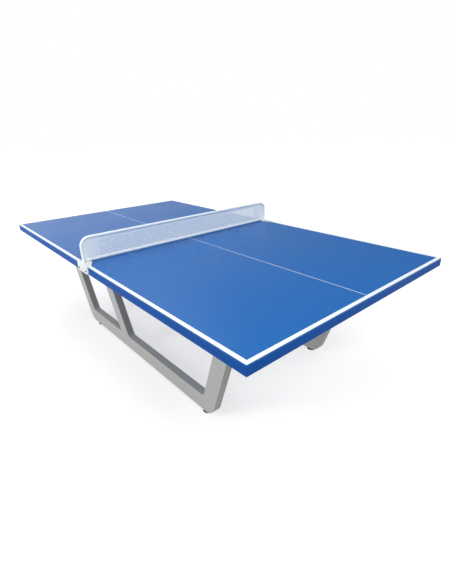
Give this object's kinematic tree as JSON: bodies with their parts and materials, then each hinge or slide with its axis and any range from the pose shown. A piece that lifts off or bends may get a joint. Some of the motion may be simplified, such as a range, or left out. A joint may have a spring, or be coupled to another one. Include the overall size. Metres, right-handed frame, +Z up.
{
  "type": "ping pong table",
  "caption": "Fixed outdoor ping pong table: framed blue top with white lines, perforated steel net in a bent tube rim, welded sled frames with leaning legs, and levelling feet.",
  "frame": {"origin": "on the floor, under the middle of the net", "axes": "+X along the table towards its near end, where the frames' front legs are; +Y across the table to its right-hand side; +Z up"},
  "size_m": [2.74, 1.549, 0.9125],
  "materials": {
    "playing_surface": "satin",
    "blue_steel": "satin",
    "white_steel": "satin",
    "grey_steel": "satin",
    "dark_screws": "satin",
    "plated_foot": "polished",
    "zinc": "satin",
    "black_plastic": "matte"
  },
  "bodies": {
    "table": {"bearer_bolts": "zinc", "bearer_nuts": "zinc", "bracket_nuts": "zinc", "bracket_screws": "dark_screws", "far_centre_rail": "blue_steel", "far_cross_tube": "grey_steel", "far_end_rail": "blue_steel", "far_inner_bearer": "blue_steel", "far_left_apron_rail": "blue_steel", "far_outer_bearer": "blue_steel", "far_playing_panel": "playing_surface", "far_right_apron_rail": "blue_steel", "foot_inserts": "zinc", "joint_bolts": "zinc", "joint_nuts": "zinc", "left_bottom_rail": "grey_steel", "left_front_leg": "grey_steel", "left_middle_leg": "grey_steel", "left_net_bracket": "white_steel", "left_rear_leg": "grey_steel", "left_top_rail": "grey_steel", "lock_nuts": "zinc", "near_centre_rail": "blue_steel", "near_cross_tube": "grey_steel", "near_end_rail": "blue_steel", "near_inner_bearer": "blue_steel", "near_left_apron_rail": "blue_steel", "near_outer_bearer": "blue_steel", "near_playing_panel": "playing_surface", "near_right_apron_rail": "blue_steel", "net_bottom_rail": "white_steel", "net_rim": "white_steel", "net_sheet": "white_steel", "right_bottom_rail": "grey_steel", "right_front_leg": "grey_steel", "right_middle_leg": "grey_steel", "right_net_bracket": "white_steel", "right_rear_leg": "grey_steel", "right_top_rail": "grey_steel", "top_rail_end_caps": "black_plastic"},
    "left_rear_foot": {"left_rear_foot_cap": "plated_foot", "left_rear_foot_sole": "black_plastic", "left_rear_foot_stud": "plated_foot"},
    "left_front_foot": {"left_front_foot_cap": "plated_foot", "left_front_foot_sole": "black_plastic", "left_front_foot_stud": "plated_foot"},
    "right_rear_foot": {"right_rear_foot_cap": "plated_foot", "right_rear_foot_sole": "black_plastic", "right_rear_foot_stud": "plated_foot"},
    "right_front_foot": {"right_front_foot_cap": "plated_foot", "right_front_foot_sole": "black_plastic", "right_front_foot_stud": "plated_foot"}
  },
  "joints": [
    {"name": "left_rear_foot_slide", "type": "slide", "parent": "table", "child": "left_rear_foot", "axis": [0, 0, -1], "range_m": [0, 0.02]},
    {"name": "left_front_foot_slide", "type": "slide", "parent": "table", "child": "left_front_foot", "axis": [0, 0, -1], "range_m": [0, 0.02]},
    {"name": "right_rear_foot_slide", "type": "slide", "parent": "table", "child": "right_rear_foot", "axis": [0, 0, -1], "range_m": [0, 0.02]},
    {"name": "right_front_foot_slide", "type": "slide", "parent": "table", "child": "right_front_foot", "axis": [0, 0, -1], "range_m": [0, 0.02]}
  ]
}
